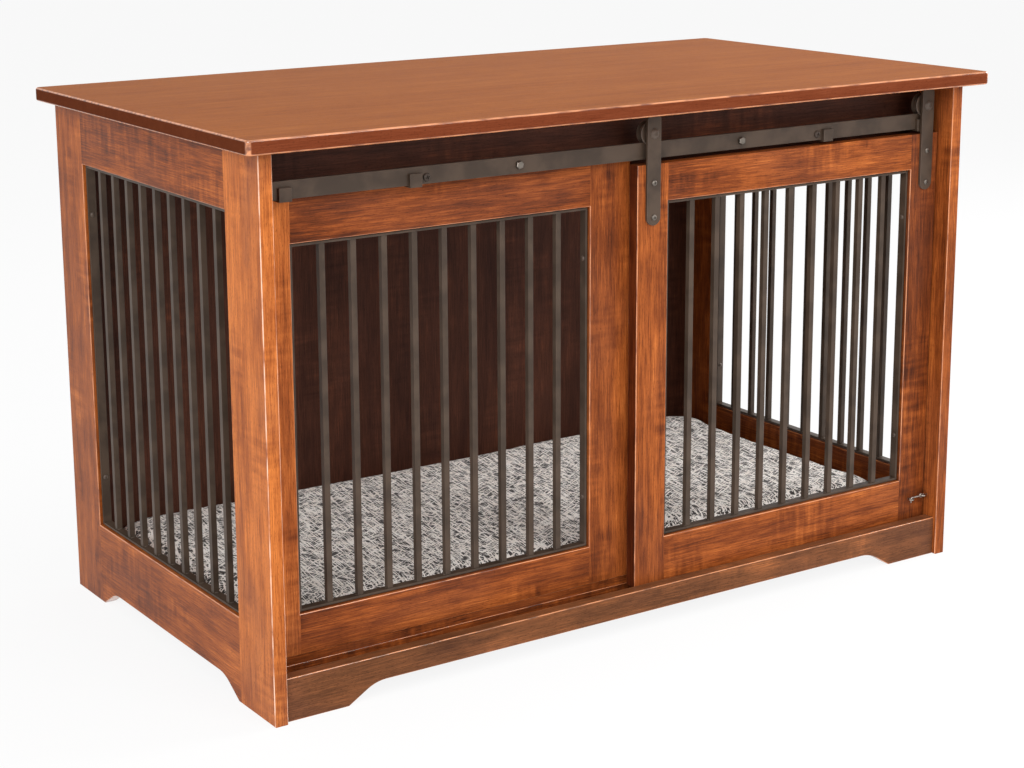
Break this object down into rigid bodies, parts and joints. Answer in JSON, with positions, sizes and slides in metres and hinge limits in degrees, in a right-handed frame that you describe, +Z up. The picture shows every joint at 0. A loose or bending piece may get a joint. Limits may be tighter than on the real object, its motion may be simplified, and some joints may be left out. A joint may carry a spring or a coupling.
{
  "type": "dog crate end table",
  "caption": "Wooden dog crate with a table top, barred steel grilles and a front door that hangs from grooved wheels on a flat rail and slides sideways, with a hook latch and a pad",
  "frame": {"origin": "on the floor under the middle of the table top", "axes": "+X to the right seen from the front, +Y to the back, +Z up"},
  "size_m": [1.219, 0.66, 0.7465],
  "materials": {
    "frame_wood": "stained maple, satin lacquer",
    "top_wood": "stained maple, satin lacquer",
    "skirt_wood": "stained maple, satin lacquer",
    "inner_wood": "dark stain",
    "dowel_wood": "bare hardwood",
    "coated_steel": "dark powder coat, satin",
    "bright_steel": "zinc plated",
    "latch_steel": "dark, satin",
    "bush_metal": "plain bearing metal",
    "pad_fabric": "black and off-white tweed"
  },
  "bodies": {
    "frame": {"back_floor_cleat": "inner_wood", "back_panel": "inner_wood", "back_top_cleat": "inner_wood", "channel_board": "inner_wood", "clip_screws": "bright_steel", "fixed_bottom_rail": "frame_wood", "fixed_grille": "coated_steel", "fixed_left_stile": "frame_wood", "fixed_right_stile": "frame_wood", "fixed_top_rail": "frame_wood", "floor_panel": "inner_wood", "frame_dowels": "dowel_wood", "front_sill": "frame_wood", "front_skirt": "skirt_wood", "grille_screws": "coated_steel", "header_board": "frame_wood", "left_back_stile": "frame_wood", "left_bottom_rail": "frame_wood", "left_floor_cleat": "inner_wood", "left_front_stile": "frame_wood", "left_grille": "coated_steel", "left_top_cleat": "frame_wood", "left_top_rail": "frame_wood", "pad": "pad_fabric", "rail_bolts": "bright_steel", "rail_clips": "coated_steel", "rail_screws": "coated_steel", "rail_standoffs": "coated_steel", "right_back_stile": "frame_wood", "right_bottom_rail": "frame_wood", "right_floor_cleat": "inner_wood", "right_front_stile": "frame_wood", "right_grille": "coated_steel", "right_top_cleat": "frame_wood", "right_top_rail": "frame_wood", "side_eye": "latch_steel", "top_board": "top_wood", "top_screws": "bright_steel", "track_rail": "coated_steel"},
    "door": {"axle_nuts": "bright_steel", "axle_washers": "bright_steel", "door_bottom_rail": "frame_wood", "door_dowels": "dowel_wood", "door_eye": "latch_steel", "door_grille": "coated_steel", "door_grille_screws": "coated_steel", "door_left_stile": "frame_wood", "door_right_stile": "frame_wood", "door_top_rail": "frame_wood", "hanger_screws": "bright_steel", "left_axle_bolt": "coated_steel", "left_hanger": "coated_steel", "right_axle_bolt": "coated_steel", "right_hanger": "coated_steel"},
    "left_wheel": {"left_bush": "bush_metal", "left_wheel": "coated_steel"},
    "right_wheel": {"right_bush": "bush_metal", "right_wheel": "coated_steel"},
    "hook": {"latch_hook": "latch_steel"}
  },
  "joints": [
    {"name": "door_slide", "type": "slide", "parent": "frame", "child": "door", "axis": [1, 0, 0], "range_m": [-0.5633, 0]},
    {"name": "left_wheel_turn", "type": "hinge", "parent": "door", "child": "left_wheel", "pos_m": [0.0264, -0.2655, 0.6967], "axis": [0, 1, 0], "continuous": true},
    {"name": "right_wheel_turn", "type": "hinge", "parent": "door", "child": "right_wheel", "pos_m": [0.5369, -0.2655, 0.6967], "axis": [0, 1, 0], "continuous": true},
    {"name": "hook_lift", "type": "hinge", "parent": "frame", "child": "hook", "pos_m": [0.5505, -0.282, 0.092], "axis": [0, 1, 0], "range_deg": [0, 85]}
  ],
  "couplings": [
    {"joint": "left_wheel_turn", "follows": "door_slide", "rad_per_m": 80.645},
    {"joint": "right_wheel_turn", "follows": "door_slide", "rad_per_m": 80.645}
  ]
}
